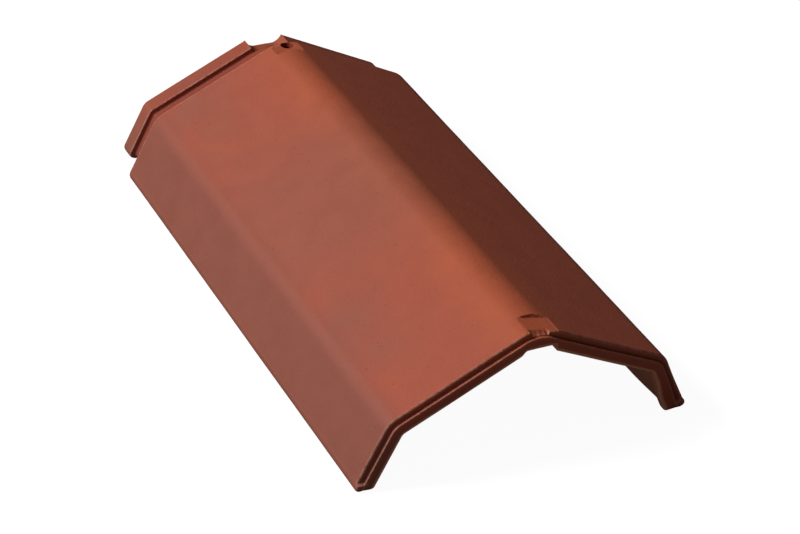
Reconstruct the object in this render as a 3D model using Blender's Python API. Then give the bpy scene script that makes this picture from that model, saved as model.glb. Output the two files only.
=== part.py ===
"""Angular ridge tile in fired clay, one piece, open below and at both ends.

The tile lies along Y. Its tail, at the low end of Y, laps over the head of the next tile, and its
head, at the high end, carries a spigot with a weather groove and a rim that goes under the next tail.
X runs across, Z up, and the origin is under the middle of the tile, level with the feet.
"""
import math

import bmesh
import bpy
import numpy as np

# Sizes of the section, in metres, to the sharp corners before they are rounded
FOOT_HALF_WIDTH = 0.1205     # centre line to the outside of a foot
KNEE_HALF_WIDTH = 0.0985     # centre line to the knee, where a skirt turns into a flank
KNEE_HEIGHT = 0.0477         # feet to the knee
APEX_HEIGHT = 0.0957         # feet to the ridge line
WALL = 0.0130                # thickness of the clay
KNEE_RADIUS = 0.0180         # rounding of the knee on the outer skin
APEX_RADIUS = 0.0280         # rounding of the ridge line on the outer skin
INSIDE_RADIUS = 0.0020       # smallest rounding that a deeper skin keeps
FOOT_RADIUS = 0.0050         # rounding of both edges under a foot

# Sizes along the tile
BODY_LENGTH = 0.3875         # tail to the edge of the head
SPIGOT_LENGTH = 0.0340       # edge of the head to the end of the spigot
TAIL_EDGE_RADIUS = 0.0016    # rounding where the outer skin turns into the tail's end
LEDGE_DEPTH = 0.0045         # outer skin down to the parting ledge across the tail's end
LEDGE_STAND = 0.0022         # how far the clay below the ledge stands out
LEDGE_RADIUS = 0.0006        # rounding of the ledge's tip
TAIL_ARRIS_RADIUS = 0.0015   # rounding of the tail's inner edge
HEAD_EDGE_RADIUS = 0.0055    # rounding of the body's edge at the head

# Sizes of the spigot
FLANK_PROUD = 0.0030         # how far the next tail stands above this body on the flanks
SKIRT_PROUD = 0.0045         # and on the skirts
RIM_WIDTH = 0.0138           # along the tile
RIM_RADIUS = 0.0025          # rounding of the rim's far edge
RIM_NEAR_RADIUS = 0.0010     # rounding of the rim's near edge
GROOVE_DEPTH = 0.0042        # rim down to the floor of the weather groove
GROOVE_RADIUS = 0.0015       # rounding of both corners of the groove's floor
SPIGOT_WALL = 0.0143         # clay under the groove
THROAT_SLOPE = 0.0200        # length over which the inner skin steps in to the spigot
THROAT_SETBACK = 0.0100      # end of that slope to the edge of the head
SPIGOT_LIFT = 0.0010         # feet of the spigot above the feet of the body

# Sizes of the seats for the clip and the nail
SEAT_HALF_WIDTH = 0.0105
CLIP_SEAT_DEPTH = 0.0015     # ridge line down to the flat at the tail
CLIP_SEAT_LENGTH = 0.0200    # from the tail
CLIP_NOTCH_HALF_WIDTH = 0.0076
CLIP_NOTCH_LENGTH = 0.0060   # from the tail, ramping down to the ledge
CLIP_NOTCH_STEP = 0.0004     # foot of the ramp above the ledge
STRAP_NOTCH_HALF_WIDTH = 0.0115
STRAP_NOTCH_LENGTH = 0.0220  # from the tail, on the underside
STRAP_NOTCH_RELIEF = 0.0002  # above the inner skin's ridge line
NAIL_SEAT_DEPTH = 0.0022     # ridge line down to the flat at the head
NAIL_SEAT_LENGTH = 0.0150    # from the edge of the head
NAIL_HOLE_DIAMETER = 0.0092
NAIL_HOLE_SETBACK = 0.0055   # its centre to the edge of the head
NAIL_HOLE_OFFSET = 0.0020    # its centre to the right of the centre line
RIM_SLOT_HALF_WIDTH = 0.0150
RIM_SLOT_RADIUS = 0.0090     # rounding between the slot's floor and its sides
RIM_SLOT_WALL = 0.0075       # clay left under the slot

# Steps of the rounded stretches
KNEE_STEPS = 6
APEX_STEPS = 6
FOOT_STEPS = 3
EDGE_STEPS = 2
SLOT_STEPS = 3
HOLE_SIDES = 24
CUT_OVERRUN = 0.0100         # how far a cutter runs past an open face
SHARP_ANGLE = math.radians(30)

CLAY_COLOUR = (0.36, 0.10, 0.065, 1.0)
CLAY_ROUGHNESS = 0.6

TILE_LENGTH = BODY_LENGTH + SPIGOT_LENGTH
RIM_START = TILE_LENGTH - RIM_WIDTH
FOOT_ROUND = min(FOOT_RADIUS, 0.45 * min(WALL, SPIGOT_WALL))

# Depths of each skin under the outer one, on the flank and on the skirt
OUTER = np.array([0.0, 0.0])
INNER = np.array([WALL, WALL])
LEDGE = np.array([LEDGE_DEPTH, LEDGE_DEPTH])
RIM = INNER - np.array([FLANK_PROUD, SKIRT_PROUD])
GROOVE = RIM + GROOVE_DEPTH
THROAT = GROOVE + SPIGOT_WALL


def clear_scene():
    """Take away whatever the scene holds."""
    for obj in list(bpy.data.objects):
        bpy.data.objects.remove(obj, do_unlink=True)


def unit(vector):
    """The same direction with length one."""
    return vector / np.linalg.norm(vector)


FOOT_CORNER = np.array([FOOT_HALF_WIDTH, 0.0])
KNEE_CORNER = np.array([KNEE_HALF_WIDTH, KNEE_HEIGHT])
APEX_CORNER = np.array([0.0, APEX_HEIGHT])
SKIRT_RUN = unit(KNEE_CORNER - FOOT_CORNER)
FLANK_RUN = unit(APEX_CORNER - KNEE_CORNER)
SKIRT_OUT = np.array([SKIRT_RUN[1], -SKIRT_RUN[0]])
FLANK_OUT = np.array([FLANK_RUN[1], -FLANK_RUN[0]])


def skin_corners(depth):
    """Sharp knee and apex (x, z) of a skin at the given depths under flank and skirt."""
    flank_depth, skirt_depth = depth
    faces = np.array([SKIRT_OUT, FLANK_OUT])
    reaches = [SKIRT_OUT @ FOOT_CORNER - skirt_depth, FLANK_OUT @ KNEE_CORNER - flank_depth]
    knee = np.linalg.solve(faces, reaches)
    apex = np.array([0.0, APEX_HEIGHT - flank_depth / FLANK_OUT[1]])
    return knee, apex


def skin_radius(outer_radius, depth):
    """Rounding of a skin: the outer one less the depth, but never under the smallest."""
    return max(outer_radius - float(np.mean(depth)), INSIDE_RADIUS)


def rounded_top(depth):
    """Height of a skin at the centre line, after its apex is rounded."""
    apex = skin_corners(depth)[1]
    radius = skin_radius(APEX_RADIUS, depth)
    return float(apex[1] - radius * (1.0 / FLANK_OUT[1] - 1.0))


def arc(centre, radius, start, end, steps):
    """Points of an arc, both ends included."""
    angles = np.linspace(start, end, steps + 1)
    return [centre + radius * np.array([math.cos(a), math.sin(a)]) for a in angles]


def skirt_point(skirt_depth, height):
    """Point of the skirt's skin at a depth and a height."""
    base = FOOT_CORNER - SKIRT_OUT * skirt_depth
    return base + SKIRT_RUN * ((height - base[1]) / SKIRT_RUN[1])


def foot_rounding():
    """(tuck inward, height) of each point round a foot's edge, from the underside up."""
    angles = np.linspace(math.radians(90.0), 0.0, FOOT_STEPS + 1)
    return [(FOOT_ROUND * (1.0 - math.cos(a)), FOOT_ROUND * (1.0 - math.sin(a))) for a in angles]


def half_section(depth, side):
    """Right half of a skin's section, foot to centre line, as (x, z) points.

    Side is 1 on a skin whose clay lies inward, -1 on one whose clay lies outward, and between the
    two across an end. It says which way the rounding under the foot tucks the point in.
    """
    points = [skirt_point(depth[1] + side * tuck, height) for tuck, height in foot_rounding()]
    knee, apex = skin_corners(depth)
    skirt_angle = math.atan2(SKIRT_OUT[1], SKIRT_OUT[0])
    flank_angle = math.atan2(FLANK_OUT[1], FLANK_OUT[0])
    radius = skin_radius(KNEE_RADIUS, depth)
    middle = 0.5 * (skirt_angle + flank_angle)
    reach = radius / math.cos(0.5 * (flank_angle - skirt_angle))
    knee_centre = knee - reach * np.array([math.cos(middle), math.sin(middle)])
    points += arc(knee_centre, radius, skirt_angle, flank_angle, KNEE_STEPS)
    radius = skin_radius(APEX_RADIUS, depth)
    apex_centre = apex - np.array([0.0, radius / FLANK_OUT[1]])
    points += arc(apex_centre, radius, flank_angle, math.radians(90.0), APEX_STEPS)
    points[-1][0] = 0.0
    return points


def end_tucks():
    """How far each point of a half section moves in from an end, for the rounding under the foot."""
    above_foot = [0.0] * (KNEE_STEPS + 1 + APEX_STEPS + 1)
    return [tuck for tuck, height in foot_rounding()] + above_foot


def rounded_corner(y, depth, back, ahead, radius, side, end):
    """A corner of the wall's outline, rounded by an arc.

    Back and ahead are (along Y, into the depth) directions of the two lines that meet there.
    """
    points = []
    for step in range(EDGE_STEPS + 1):
        angle = math.radians(90.0) * step / EDGE_STEPS
        from_back = radius * (1.0 - math.sin(angle))
        from_ahead = radius * (1.0 - math.cos(angle))
        along = y + from_back * back[0] + from_ahead * ahead[0]
        inward = from_back * back[1] + from_ahead * ahead[1]
        points.append((along, depth + inward, side, end))
    return points


def wall_outline():
    """The wall cut along the tile, once round: (y, depths, side, end) of each point.

    It starts on the outer skin at the tail, goes down the tail's end, along the inner skin to the
    spigot, up the spigot's end, back over rim and groove, and up the body's edge at the head.
    """
    to_head, to_tail, deeper, shallower = (1, 0), (-1, 0), (0, 1), (0, -1)
    ledge_side = 1.0 - 2.0 * LEDGE_DEPTH / WALL
    outline = rounded_corner(LEDGE_STAND, OUTER, to_head, deeper, TAIL_EDGE_RADIUS, 1.0, 1)
    outline.append((LEDGE_STAND, LEDGE, ledge_side, 1))
    outline += rounded_corner(0.0, LEDGE, to_head, deeper, LEDGE_RADIUS, ledge_side, 1)
    outline += rounded_corner(0.0, INNER, shallower, to_head, TAIL_ARRIS_RADIUS, -1.0, 1)
    outline.append((BODY_LENGTH - THROAT_SETBACK - THROAT_SLOPE, INNER, -1.0, 0))
    outline.append((BODY_LENGTH - THROAT_SETBACK, THROAT, -1.0, 0))
    outline += rounded_corner(TILE_LENGTH, THROAT, to_tail, shallower, TAIL_ARRIS_RADIUS, -1.0, -1)
    outline += rounded_corner(TILE_LENGTH, RIM, deeper, to_tail, RIM_RADIUS, 1.0, -1)
    outline += rounded_corner(RIM_START, RIM, to_head, deeper, RIM_NEAR_RADIUS, 1.0, 0)
    outline += rounded_corner(RIM_START, GROOVE, shallower, to_tail, GROOVE_RADIUS, 1.0, 0)
    outline += rounded_corner(BODY_LENGTH, GROOVE, to_head, shallower, GROOVE_RADIUS, 1.0, -1)
    outline += rounded_corner(BODY_LENGTH, OUTER, deeper, to_tail, HEAD_EDGE_RADIUS, 1.0, -1)
    return outline


def place_y(along):
    """Distance from the tail turned into the tile's own Y, whose zero is at mid length."""
    return along - 0.5 * TILE_LENGTH


def shell_mesh():
    """The whole wall: its outline carried round the section from one foot to the other."""
    tucks = end_tucks()
    strips = []
    for along, depth, side, end in wall_outline():
        half = half_section(depth, side)
        right = [(p[0], place_y(along + end * tuck), p[1]) for p, tuck in zip(half, tucks)]
        left = [(-x, y, z) for x, y, z in reversed(right[:-1])]
        strips.append(right + left)
    bm = bmesh.new()
    grid = [[bm.verts.new(point) for point in strip] for strip in strips]
    stations = len(grid[0])
    for strip, following in zip(grid, grid[1:] + grid[:1]):
        for s in range(stations - 1):
            bm.faces.new((strip[s], strip[s + 1], following[s + 1], following[s]))
    for s in (0, stations - 1):
        bm.faces.new([strip[s] for strip in grid])
    bmesh.ops.recalc_face_normals(bm, faces=bm.faces)
    return bm


def prism_mesh(outline, axis, low, high):
    """A closed prism: an outline in the plane across an axis, run from low to high along it."""
    bm = bmesh.new()
    if axis == "X":
        ring = [bm.verts.new((low, a, b)) for a, b in outline]
        run = (high - low, 0.0, 0.0)
    else:
        ring = [bm.verts.new((a, low, b)) for a, b in outline]
        run = (0.0, high - low, 0.0)
    base = bm.faces.new(ring)
    grown = bmesh.ops.extrude_face_region(bm, geom=[base], use_keep_orig=True)
    moved = [item for item in grown["geom"] if isinstance(item, bmesh.types.BMVert)]
    bmesh.ops.translate(bm, verts=moved, vec=run)
    bmesh.ops.recalc_face_normals(bm, faces=bm.faces)
    return bm


def block_mesh(half_width, low_y, high_y, low_z, high_z):
    """A closed block across the centre line."""
    outline = [(-half_width, low_z), (half_width, low_z), (half_width, high_z), (-half_width, high_z)]
    return prism_mesh(outline, "Y", low_y, high_y)


def upright_prism(x, y, radius, low, high):
    """A closed upright prism of many sides, as the cutter of a round hole."""
    bm = bmesh.new()
    bmesh.ops.create_cone(
        bm,
        cap_ends=True,
        segments=HOLE_SIDES,
        radius1=radius,
        radius2=radius,
        depth=high - low,
    )
    bmesh.ops.translate(bm, verts=bm.verts, vec=(x, y, 0.5 * (low + high)))
    return bm


def add_object(name, bm):
    """An object from a mesh that is finished with."""
    mesh = bpy.data.meshes.new(name)
    bm.to_mesh(mesh)
    bm.free()
    obj = bpy.data.objects.new(name, mesh)
    bpy.context.scene.collection.objects.link(obj)
    return obj


def cut(body, name, bm):
    """Take a cutter's shape out of the body."""
    cutter = add_object(name, bm)
    cutter.hide_render = True
    cutter.display_type = "WIRE"
    modifier = body.modifiers.new(name, "BOOLEAN")
    modifier.operation = "DIFFERENCE"
    modifier.solver = "EXACT"
    modifier.object = cutter


def cut_clip_seat(body):
    """Flat on the ridge line at the tail, with a notch that ramps down to the ledge in front of it."""
    floor = rounded_top(OUTER) - CLIP_SEAT_DEPTH
    ledge = rounded_top(LEDGE) + CLIP_NOTCH_STEP
    above = APEX_HEIGHT + CUT_OVERRUN
    front = place_y(-CUT_OVERRUN)
    seat = block_mesh(SEAT_HALF_WIDTH, front, place_y(CLIP_SEAT_LENGTH), floor, above)
    cut(body, "clip_seat_cutter", seat)
    ramp_foot = place_y(LEDGE_STAND)
    ramp_top = place_y(CLIP_NOTCH_LENGTH)
    ramp = [(front, ledge), (ramp_foot, ledge), (ramp_top, floor), (ramp_top, above), (front, above)]
    notch = prism_mesh(ramp, "X", -CLIP_NOTCH_HALF_WIDTH, CLIP_NOTCH_HALF_WIDTH)
    cut(body, "clip_notch_cutter", notch)


def cut_strap_notch(body):
    """Room under the tail for the clip of the tile below."""
    ceiling = rounded_top(INNER) + STRAP_NOTCH_RELIEF
    below = skin_corners(INNER)[0][1]
    front = place_y(-CUT_OVERRUN)
    back = place_y(STRAP_NOTCH_LENGTH)
    cut(body, "strap_notch_cutter", block_mesh(STRAP_NOTCH_HALF_WIDTH, front, back, below, ceiling))


def cut_nail_seat(body):
    """Flat on the ridge line at the head, open towards the spigot, with a nail hole through it."""
    floor = rounded_top(OUTER) - NAIL_SEAT_DEPTH
    above = APEX_HEIGHT + CUT_OVERRUN
    start = place_y(BODY_LENGTH - NAIL_SEAT_LENGTH)
    end = place_y(BODY_LENGTH + CUT_OVERRUN)
    cut(body, "nail_seat_cutter", block_mesh(SEAT_HALF_WIDTH, start, end, floor, above))
    low = rounded_top(THROAT) - CUT_OVERRUN
    hole = upright_prism(
        NAIL_HOLE_OFFSET,
        place_y(BODY_LENGTH - NAIL_HOLE_SETBACK),
        0.5 * NAIL_HOLE_DIAMETER,
        low,
        above,
    )
    cut(body, "nail_hole_cutter", hole)


def cut_rim_slot(body):
    """Round-bottomed slot through the rim on the ridge line, where the clip's plate lies."""
    floor = rounded_top(THROAT) + RIM_SLOT_WALL
    above = rounded_top(RIM) + CUT_OVERRUN
    radius = min(RIM_SLOT_RADIUS, 0.9 * RIM_SLOT_HALF_WIDTH)
    centre = np.array([RIM_SLOT_HALF_WIDTH - radius, floor + radius])
    right = arc(centre, radius, math.radians(-90.0), 0.0, SLOT_STEPS)
    right.append(np.array([RIM_SLOT_HALF_WIDTH, above]))
    outline = [tuple(p) for p in right] + [(-p[0], p[1]) for p in reversed(right)]
    start = place_y(RIM_START - 0.5 * GROOVE_RADIUS)
    cut(body, "rim_slot_cutter", prism_mesh(outline, "Y", start, place_y(TILE_LENGTH + CUT_OVERRUN)))


def lift_spigot(body):
    """Raise the underside of the spigot's feet, so that only the body's feet bear."""
    start = place_y(BODY_LENGTH - HEAD_EDGE_RADIUS)
    end = place_y(TILE_LENGTH + CUT_OVERRUN)
    half_width = FOOT_HALF_WIDTH + CUT_OVERRUN
    cut(body, "spigot_lift_cutter", block_mesh(half_width, start, end, -CUT_OVERRUN, SPIGOT_LIFT))


def clay_material():
    """Fired red clay with a thin matt engobe."""
    material = bpy.data.materials.new("fired_red_clay")
    material.use_nodes = True
    shader = material.node_tree.nodes["Principled BSDF"]
    shader.inputs["Base Color"].default_value = CLAY_COLOUR
    shader.inputs["Roughness"].default_value = CLAY_ROUGHNESS
    shader.inputs["Metallic"].default_value = 0.0
    material.diffuse_color = CLAY_COLOUR
    return material


def build_tile():
    """The ridge tile, one solid of fired clay."""
    tile = add_object("ridge_tile", shell_mesh())
    cut_clip_seat(tile)
    cut_strap_notch(tile)
    cut_nail_seat(tile)
    cut_rim_slot(tile)
    lift_spigot(tile)
    tile.data.shade_smooth()
    tile.data.set_sharp_from_angle(angle=SHARP_ANGLE)
    tile.data.materials.append(clay_material())


clear_scene()
build_tile()
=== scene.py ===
import math

import bmesh
import bpy
import numpy as np
from bpy.props import FloatProperty, FloatVectorProperty, PointerProperty
from bpy.types import Operator, Panel, PropertyGroup
from mathutils import Matrix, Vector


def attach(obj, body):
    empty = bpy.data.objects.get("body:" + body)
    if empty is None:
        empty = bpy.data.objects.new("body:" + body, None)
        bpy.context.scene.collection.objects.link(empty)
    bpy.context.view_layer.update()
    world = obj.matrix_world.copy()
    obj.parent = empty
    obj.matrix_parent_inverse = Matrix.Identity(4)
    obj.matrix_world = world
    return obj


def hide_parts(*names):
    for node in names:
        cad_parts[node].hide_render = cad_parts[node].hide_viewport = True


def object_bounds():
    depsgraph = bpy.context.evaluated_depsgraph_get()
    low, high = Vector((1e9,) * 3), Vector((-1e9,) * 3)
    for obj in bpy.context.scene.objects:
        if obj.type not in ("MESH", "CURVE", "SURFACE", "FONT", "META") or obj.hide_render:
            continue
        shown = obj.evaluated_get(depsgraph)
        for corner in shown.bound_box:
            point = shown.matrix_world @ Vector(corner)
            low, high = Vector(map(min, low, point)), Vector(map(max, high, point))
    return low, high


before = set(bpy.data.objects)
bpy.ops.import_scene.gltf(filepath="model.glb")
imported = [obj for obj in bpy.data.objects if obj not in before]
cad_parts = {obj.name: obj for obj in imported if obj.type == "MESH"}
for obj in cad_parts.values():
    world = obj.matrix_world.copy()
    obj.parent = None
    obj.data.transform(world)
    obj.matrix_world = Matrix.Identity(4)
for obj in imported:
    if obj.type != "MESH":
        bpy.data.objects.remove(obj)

cad_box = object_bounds()

bl_info = {
    "name": "Angular ridge tile",
    "version": (1, 0, 0),
    "blender": (4, 5, 0),
    "location": "3D View > Sidebar > Ridge tile",
    "description": "A fired-clay angular ridge tile with its studio stage",
    "category": "Add Mesh",
}

# Directions in the wall's cut along the tile: (along, into the depth)
TO_HEAD = (1.0, 0.0)
TO_TAIL = (-1.0, 0.0)
DEEPER = (0.0, 1.0)
SHALLOWER = (0.0, -1.0)

SHARP_ANGLE = math.radians(42)
QUARTER = 0.5 * math.pi
HAIR = 0.0001         # nearest that two places on the tile are told apart
SOFT_EDGE = 0.0006    # width over which the side of a cut fades
ROW_GAP = 0.00015     # least gap between rows of the inner skin
ARRIS_STEPS = 5       # steps round the inner edges at both ends
FLUTE_GAP = 0.0037    # one flute of the notch to the next
SEAT_BOW = 0.0012     # bow of the clip seat's far edge
CUT_REACH = 0.0295    # seats, notches and slot stay this near the centre line
HOLE_SIDES = 64

# Where a shape fades out, as (from, to) along the tile or above the ground
SWELL_ALONG, SWELL_UP = (0.004, 0.015), (0.010, 0.030)
SHORT_ALONG, SHORT_UP = (0.0, 0.050), (0.0, 0.035)
RECESS_ALONG = (0.004, 0.010)

# Where the finish, its painted shade and its painted sheen change over the tile: (from, to) in
# metres, then its value at both
NEAR_RIDGE = (0.022, 0.055, 1.0, 0.0)
# Grey clouds kept to the lit left side: part kiln bloom, part painted sheen
BLOOM_AND_SHEEN_SIDE = (-0.090, -0.020, 1.0, 0.12)
# Painted shade: greyer colour on the left skirt
LEFT_SKIRT_SHADE = (-0.104, -0.086, 0.80, 0.0)
MIDDLE = (0.02, 0.14, 0.55, 0.0)
LEFT_OF_RIDGE = (-0.010, 0.030, 1.0, 0.10)
# Painted shade: the left skirt and knee darkened
LEFT_SKIRT_DARKENING = (-0.104, -0.084, 0.82, 1.0)
ON_RIM = (0.178, 0.190, 1.0, 0.84)


def length(name, description, default):
    """A size in metres that the user may change."""
    return FloatProperty(
        name=name, description=description, default=default, min=0.0, precision=5, unit="LENGTH"
    )


def colour(name, description, default):
    """A colour that the user may change."""
    return FloatVectorProperty(
        name=name, description=description, default=default,
        size=3, min=0.0, max=1.0, subtype="COLOR",
    )


def amount(name, description, default, top=1.0):
    """A plain number from nought to a top."""
    return FloatProperty(name=name, description=description, default=default, min=0.0, max=top)


def angle(name, description, degrees):
    """An angle that the user may change."""
    return FloatProperty(
        name=name, description=description, default=math.radians(degrees), subtype="ANGLE"
    )


class TileSectionSizes(PropertyGroup):
    """Sizes across the tile, to the sharp corners before they are rounded."""

    foot_half_width: length("Foot", "Centre line to the outside of a foot", 0.1205)
    knee_half_width: length("Knee", "Centre line to the knee", 0.0985)
    knee_height: length("Knee height", "Feet to the knee", 0.0477)
    apex_height: length("Ridge height", "Feet to the ridge line", 0.0957)
    wall: length("Wall", "Thickness of the clay", 0.0130)
    knee_radius: length("Knee rounding", "Rounding of the knee on the outer skin", 0.0180)
    apex_radius: length("Ridge rounding", "Rounding of the ridge line on the outer skin", 0.0280)
    inside_radius: length("Inside rounding", "Smallest rounding that a deeper skin keeps", 0.0020)
    foot_radius: length("Foot rounding", "Mean rounding of both edges under a foot", 0.0048)
    foot_lean: length("Foot lean", "How much rounder the outer edge of a foot is", 0.0022)
    foot_flat: amount("Foot flatness", "Loss of height of the outer rounding, as a share", 0.20)
    foot_end: length("Foot ends", "Rounding of the feet at the ends, seen from the side", 0.0032)
    foot_fade: length("Foot end run", "Length over which that rounding fades out", 0.0095)
    foot_swell: length("Foot swell", "Clay pressed inward at the tail's right foot", 0.0030)
    foot_short: length("Foot short", "Tail's right foot above the ground", 0.0025)
    foot_flush: length("Flush foot", "Height under which the tail's recess is closed", 0.0062)
    sway: length("Sway", "Pressed clay off a true face", 0.00022)
    flash: length("Flash", "Height of the fine flash line above the feet", 0.00028)


class TileLengthSizes(PropertyGroup):
    """Sizes along the tile: body, tail edge and spigot."""

    body: length("Body", "Tail to the edge of the head", 0.3875)
    spigot: length("Spigot", "Edge of the head to the end of the spigot", 0.0340)
    tail_edge: length("Tail edge", "Rounding of the outer skin into the tail's end", 0.0016)
    ledge_depth: length("Ledge depth", "Outer skin down to the parting ledge", 0.0045)
    ledge_stand: length("Ledge stand", "How far the clay below the ledge stands out", 0.0022)
    ledge_tip: length("Ledge tip", "Rounding of the ledge's tip", 0.0006)
    arris: length("Arris", "Rounding of the inner edges at both ends", 0.0015)
    head_edge: length("Head edge", "Rounding of the body's edge at the head", 0.0055)
    flank_proud: length("Flank step", "Next tail above this body's flanks", 0.0030)
    skirt_proud: length("Skirt step", "Next tail outside this body's skirts", 0.0045)
    rim: length("Rim", "Width of the rim along the tile", 0.0138)
    rim_far: length("Rim far edge", "Rounding of the rim's far edge", 0.0025)
    rim_near: length("Rim near edge", "Rounding of the rim's near edge", 0.0010)
    groove_depth: length("Groove", "Rim down to the groove's floor", 0.0042)
    groove_corner: length("Groove corner", "Rounding of the groove's corners", 0.0015)
    spigot_wall: length("Spigot wall", "Clay under the groove", 0.0143)
    throat_slope: length("Throat slope", "Length over which the inner skin steps in", 0.0200)
    throat_setback: length("Throat setback", "End of that slope to the edge of the head", 0.0100)
    spigot_lift: length("Spigot lift", "Spigot's feet above the body's", 0.0010)


class TileSeatSizes(PropertyGroup):
    """Sizes of the seats, the notches, the slot and the nail hole."""

    half_width: length("Nail seat", "Half width of the flat at the head", 0.0105)
    clip_depth: length("Clip seat depth", "Ridge line down to the flat at the tail", 0.0018)
    clip_offset: length("Clip seat offset", "Flat's centre to the right of the ridge line", 0.0034)
    clip_half_width: length("Clip seat", "Half width of the flat at the tail", 0.0112)
    clip_tilt: amount("Clip seat tilt", "Fall of the flat to the right, as a slope", 0.17)
    clip_length: length("Clip seat length", "Length of the flat from the tail", 0.0200)
    notch_half_width: length("Notch", "Half width of the notch in front of the flat", 0.0064)
    notch_offset: length("Notch offset", "Notch's centre to the right of the ridge line", 0.0012)
    notch_length: length("Notch length", "Length of the notch from the tail", 0.0060)
    notch_step: length("Notch step", "Foot of the notch above the ledge", 0.0004)
    flute: length("Flutes", "Depth of the tool marks down the notch", 0.00042)
    strap_half_width: length("Strap notch", "Half width of the notch under the tail", 0.0115)
    strap_length: length("Strap notch length", "Length of the notch under the tail", 0.0220)
    strap_offset: length("Strap notch offset", "Its centre to the right of the ridge line", 0.0025)
    nail_depth: length("Nail seat depth", "Ridge line down to the flat at the head", 0.0022)
    nail_length: length("Nail seat length", "Length of the flat from the edge of the head", 0.0150)
    hole_diameter: length("Nail hole", "Diameter of the nail hole", 0.0092)
    hole_setback: length("Nail hole setback", "Hole's centre to the edge of the head", 0.0055)
    hole_offset: length("Nail hole offset", "Hole's centre to the right of the centre line", 0.0020)
    hole_flare: length("Nail hole lip", "Rounding of the hole's lip", 0.0005)
    slot_half_width: length("Rim slot", "Half width of the slot through the rim", 0.0150)
    slot_radius: length("Rim slot rounding", "Rounding between the slot's floor and sides", 0.0090)
    slot_wall: length("Rim slot wall", "Clay left under the slot", 0.0075)


class ClayFinish(PropertyGroup):
    """Colours and texture of the fired clay, with colours that paint shade, sheen and highlights.
    """

    engobe: colour("Engobe", "Red-brown engobe on the outer faces", (0.350, 0.076, 0.041))
    warm: colour("Warm engobe", "Engobe near the ridge line", (0.388, 0.085, 0.037))
    # Grey bloom: real kiln bloom, and a painted sheen on the lit left side
    bloom_and_sheen: colour("Bloom", "Grey-purple kiln bloom on flanks and skirts", (0.245, 0.079, 0.053))
    # Maroon: darker engobe, and painted shade in the groove, notches and nail hole and on the end
    # faces
    maroon_and_shade: colour("Maroon", "Darker engobe in groove and notches", (0.185, 0.024, 0.010))
    # Rubbed: paler clay on worn arrises, and painted highlights on the ledges
    rubbed_and_highlight: colour("Rubbed", "Paler clay on rubbed arrises", (0.500, 0.235, 0.175))
    bare: colour("Bare clay", "Bare clay on the inner faces", (0.500, 0.195, 0.118))
    fleck: colour("Fleck", "Dark specks in the clay", (0.090, 0.028, 0.022))
    # Share of the maroon, which is also the strength of the painted shade
    dark_engobe_and_shade_share: amount("Maroon share", "How much of the maroon shows in hollows", 0.55)
    # Share of the rubbed clay, which is also the strength of the painted highlights
    rubbed_and_highlight_share: amount("Rubbed share", "How much of the rubbed clay shows", 0.80)
    fleck_share: amount("Fleck share", "How much of the specks shows", 0.45)
    roughness: amount("Roughness", "How matt the engobe is", 0.64)
    grain: length("Grain", "Height of the sandy grain", 0.00022)


class StageSettings(PropertyGroup):
    """Camera, light and floor."""

    azimuth: angle("Azimuth", "Turn of the camera round the tile", -29.074)
    elevation: angle("Elevation", "Camera above the horizon", 33.926)
    roll: angle("Roll", "Turn of the picture", 4.994)
    distance: length("Distance", "Camera to the point it is aimed at", 1.660551)
    aim: FloatVectorProperty(
        name="Aim",
        description="Point that the camera is turned to, before it slides",
        default=(0.0, -0.00795, 0.0012),
        unit="LENGTH",
        precision=5,
    )
    slide_right: length("Slide right", "Camera moved to its right", 0.010706)
    slide_up: length("Slide up", "Camera moved up", 0.008163)
    lens: FloatProperty(name="Lens", description="Focal length in millimetres", default=108.307)
    key_power: amount("Key light", "Power of the main light in watts", 76.0, 1000.0)
    key_size: length("Key size", "Side of the main light", 0.9)
    fill: amount("Fill", "Strength of the light from all round", 0.067)
    low_power: amount("Low light", "Power of the faint light from the front, in watts", 4.5, 100.0)
    floor: colour("Floor", "Pale floor", (0.86, 0.86, 0.86))
    floor_size: length("Floor size", "Side of the floor", 12.0)


class Skins:
    """Faces of the section, as sharp corners, directions and outward normals in (x, z)."""

    def __init__(self, section):
        self.foot = np.array([section.foot_half_width, 0.0])
        self.knee = np.array([section.knee_half_width, section.knee_height])
        self.apex_height = section.apex_height
        apex = np.array([0.0, section.apex_height])
        self.skirt_run = (self.knee - self.foot) / np.linalg.norm(self.knee - self.foot)
        self.flank_run = (apex - self.knee) / np.linalg.norm(apex - self.knee)
        self.skirt_out = np.array([self.skirt_run[1], -self.skirt_run[0]])
        self.flank_out = np.array([self.flank_run[1], -self.flank_run[0]])
        self.section = section

    def radius(self, outer, flank, skirt):
        """A skin's rounding: the outer one less the mean depth, but never under the smallest."""
        return np.maximum(outer - 0.5 * (flank + skirt), self.section.inside_radius)

    def knee_corner(self, flank, skirt):
        """Where a skin's skirt and flank faces meet: two lines moved in, solved together."""
        faces = np.linalg.inv(np.array([self.skirt_out, self.flank_out]))
        reach_skirt = self.skirt_out @ self.foot - skirt
        reach_flank = self.flank_out @ self.knee - flank
        return [row[0] * reach_skirt + row[1] * reach_flank for row in faces]

    def skirt_point(self, skirt, height):
        """Point of a skin's skirt at a depth and a height: the foot moved in, then up the face."""
        x = self.foot[0] - self.skirt_out[0] * skirt
        z = self.foot[1] - self.skirt_out[1] * skirt
        rise = (height - z) / self.skirt_run[1]
        return x + self.skirt_run[0] * rise, height + 0.0 * x

    def ridge_height(self, x, flank, skirt):
        """Height of a skin near the ridge line: a circle between the flanks, then the flank."""
        slope = self.flank_out[0] / self.flank_out[1]
        radius = self.radius(self.section.apex_radius, flank, skirt)
        apex = self.apex_height - flank / self.flank_out[1]
        centre = apex - radius / self.flank_out[1]
        edge = radius * self.flank_out[0]
        inside = np.minimum(np.abs(x), edge)
        crown = centre + np.sqrt(radius ** 2 - inside ** 2)
        return crown - slope * (np.abs(x) - inside)


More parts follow.
